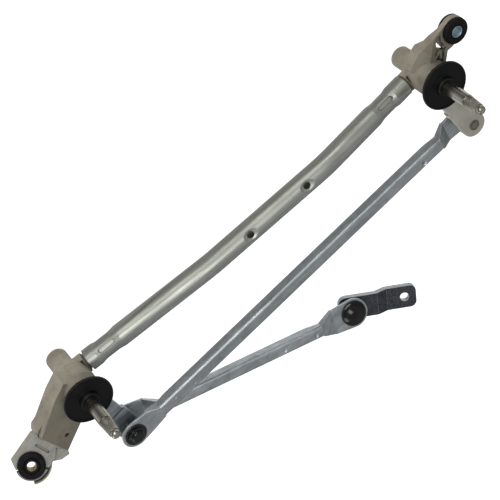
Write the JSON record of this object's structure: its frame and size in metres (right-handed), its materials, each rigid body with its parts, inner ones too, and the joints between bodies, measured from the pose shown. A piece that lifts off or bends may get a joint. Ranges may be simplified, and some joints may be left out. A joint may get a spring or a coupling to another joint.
{
  "type": "windshield wiper linkage",
  "caption": "Wiper linkage with a crimped frame tube, cast pivot housings, splined pivot shafts, levers, coupling rod, drive rod and motor crank arm.",
  "frame": {"origin": "on the drive-side pivot shaft's axis, at the shoulder where its bare seat for the wiper arm begins", "axes": "+X from the drive pivot to the passenger pivot, +Z along the pivot shafts towards their splined tips, +Y away from the levers"},
  "size_m": [0.5918, 0.2304, 0.1322],
  "materials": {
    "zinc_tube": "satin zinc plating with drawn streaks",
    "cast_housing": "as-cast matte",
    "bronze": "sintered bronze",
    "plug_steel": "pressed",
    "washer_plastic": "matte",
    "rubber": "moulded rubber",
    "yellow_zinc": "yellow zinc",
    "blue_zinc": "blue zinc",
    "shaft_steel": "ground steel",
    "spring_steel": "phosphated",
    "seal_plastic": "satin black",
    "zinc_plate": "blue zinc plating",
    "sintered_lever": "sintered, matte cream-grey",
    "ball_steel": "polished ball",
    "zinc_channel": "blue zinc plating",
    "socket_plastic": "glossy black",
    "zinc_crank": "zinc plating, slightly dark"
  },
  "bodies": {
    "frame": {"frame_tube": "zinc_tube", "drive_housing": "cast_housing", "passenger_housing": "cast_housing", "drive_upper_bush": "bronze", "drive_lower_bush": "bronze", "passenger_upper_bush": "bronze", "passenger_lower_bush": "bronze", "drive_end_plug": "plug_steel", "passenger_end_plug": "plug_steel", "drive_thrust_washer": "washer_plastic", "passenger_thrust_washer": "washer_plastic", "drive_grommet": "rubber", "passenger_grommet": "rubber", "drive_sleeve": "yellow_zinc", "passenger_sleeve": "blue_zinc"},
    "drive_rocker": {"drive_shaft": "shaft_steel", "drive_retaining_ring": "spring_steel", "drive_seal_disc": "seal_plastic", "drive_lever": "zinc_plate", "double_ball_stud": "ball_steel"},
    "passenger_rocker": {"passenger_shaft": "shaft_steel", "passenger_retaining_ring": "spring_steel", "passenger_seal_disc": "seal_plastic", "passenger_lever": "sintered_lever", "passenger_ball_stud": "ball_steel"},
    "coupling_link": {"coupling_rod": "zinc_channel", "coupling_drive_socket": "socket_plastic", "coupling_passenger_socket": "socket_plastic"},
    "drive_link": {"drive_rod": "zinc_channel", "drive_rod_lever_socket": "socket_plastic", "drive_rod_crank_socket": "socket_plastic"},
    "crank": {"crank_arm": "zinc_crank", "crank_ball_stud": "ball_steel"}
  },
  "joints": [
    {"name": "drive_pivot", "type": "hinge", "parent": "frame", "child": "drive_rocker", "pos_m": [0, 0, -0.04], "axis": [0, 0, 1], "range_deg": [-35, 55]},
    {"name": "passenger_pivot", "type": "hinge", "parent": "frame", "child": "passenger_rocker", "pos_m": [0.44, 0, -0.04], "axis": [0, 0, 1], "range_deg": [-35, 55]},
    {"name": "coupling_ball", "type": "hinge", "parent": "drive_rocker", "child": "coupling_link", "pos_m": [0.00897, -0.06811, -0.0024], "axis": [0, 0, 1], "range_deg": [-55, 35]},
    {"name": "drive_rod_ball", "type": "hinge", "parent": "drive_rocker", "child": "drive_link", "pos_m": [0.00897, -0.06811, -0.0229], "axis": [0, 0, 1], "range_deg": [-55, 35]},
    {"name": "crank_ball", "type": "hinge", "parent": "drive_link", "child": "crank", "pos_m": [0.2449, -0.1471, -0.0044], "axis": [-0.2501, 0.3301, 0.9102], "continuous": true}
  ],
  "couplings": [
    {"joint": "passenger_pivot", "follows": "drive_pivot", "ratio": 1},
    {"joint": "coupling_ball", "follows": "drive_pivot", "ratio": -1},
    {"joint": "drive_rod_ball", "follows": "drive_pivot", "ratio": -1}
  ]
}
